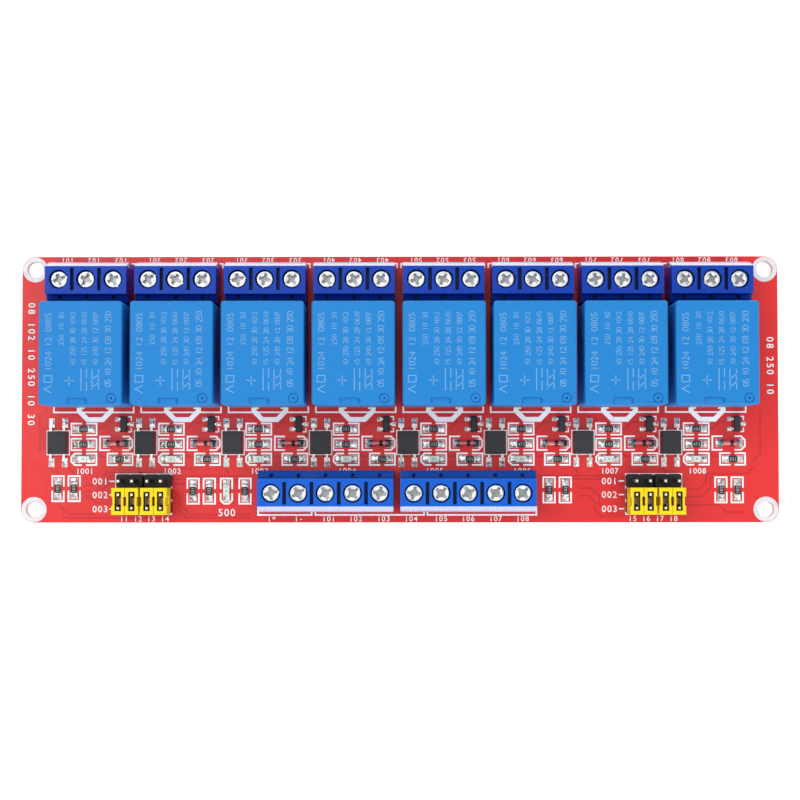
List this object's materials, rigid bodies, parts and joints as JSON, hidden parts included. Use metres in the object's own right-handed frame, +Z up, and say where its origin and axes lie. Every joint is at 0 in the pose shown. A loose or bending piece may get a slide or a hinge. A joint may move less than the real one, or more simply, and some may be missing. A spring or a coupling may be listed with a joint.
{
  "type": "relay module board",
  "caption": "Relay module on a long red circuit board: blue relays in a row between screw terminals, with small signal parts, lamps and two jumper headers.",
  "frame": {"origin": "centre of the four mounting holes, on the underside of the board", "axes": "+X along the row of relays, +Y towards the output terminals, +Z up from the board's component side"},
  "size_m": [0.145, 0.051, 0.019],
  "materials": {
    "red_board": "glossy red solder mask over glass-epoxy laminate",
    "tinned_copper": "bright solder",
    "relay_blue": "satin moulded blue",
    "dark_blue_plastic": "matt dark blue",
    "tinned_metal": "tinned",
    "output_blue": "satin royal blue nylon",
    "input_blue": "satin bright blue nylon",
    "screw_nickel": "nickel plated, turned",
    "clamp_metal": "nickel-plated steel",
    "black_plastic": "matt black",
    "pin_brass": "flash-gold square pins",
    "jumper_yellow": "satin yellow",
    "clip_bronze": "dull phosphor bronze",
    "moulded_black": "matt moulding compound",
    "red_glass": "clear orange-red glass",
    "resistor_black": "black glaze over white ceramic",
    "lamp_lens": "milky pale green resin",
    "lamp_base": "pale laminate with tinned ends"
  },
  "bodies": {
    "root": {"circuit_board": "red_board", "hole_rings": "tinned_copper", "solder_pads": "tinned_copper", "solder_joints": "tinned_copper", "relay_cover_1": "relay_blue", "relay_cover_2": "relay_blue", "relay_cover_3": "relay_blue", "relay_cover_4": "relay_blue", "relay_cover_5": "relay_blue", "relay_cover_6": "relay_blue", "relay_cover_7": "relay_blue", "relay_cover_8": "relay_blue", "relay_bases": "dark_blue_plastic", "relay_pins": "tinned_metal", "output_terminal_1": "output_blue", "output_terminal_2": "output_blue", "output_terminal_3": "output_blue", "output_terminal_4": "output_blue", "output_terminal_5": "output_blue", "output_terminal_6": "output_blue", "output_terminal_7": "output_blue", "output_terminal_8": "output_blue", "input_terminal_1": "input_blue", "input_terminal_2": "input_blue", "output_screws": "screw_nickel", "input_screws": "screw_nickel", "output_clamps": "clamp_metal", "input_clamps": "clamp_metal", "output_terminal_pins": "tinned_metal", "input_terminal_pins": "tinned_metal", "header_block_1": "black_plastic", "header_block_2": "black_plastic", "header_block_3": "black_plastic", "header_block_4": "black_plastic", "header_pins": "pin_brass", "jumper_cap_1": "jumper_yellow", "jumper_cap_2": "jumper_yellow", "jumper_cap_3": "jumper_yellow", "jumper_cap_4": "jumper_yellow", "jumper_cap_5": "jumper_yellow", "jumper_cap_6": "jumper_yellow", "jumper_cap_7": "jumper_yellow", "jumper_cap_8": "jumper_yellow", "jumper_clips": "clip_bronze", "optocouplers": "moulded_black", "optocoupler_leads": "tinned_metal", "transistors": "moulded_black", "transistor_leads": "tinned_metal", "diode_glasses": "red_glass", "diode_ends": "tinned_metal", "resistors": "resistor_black", "resistor_ends": "tinned_metal", "lamp_lenses": "lamp_lens", "lamp_bases": "lamp_base"}
  },
  "joints": []
}
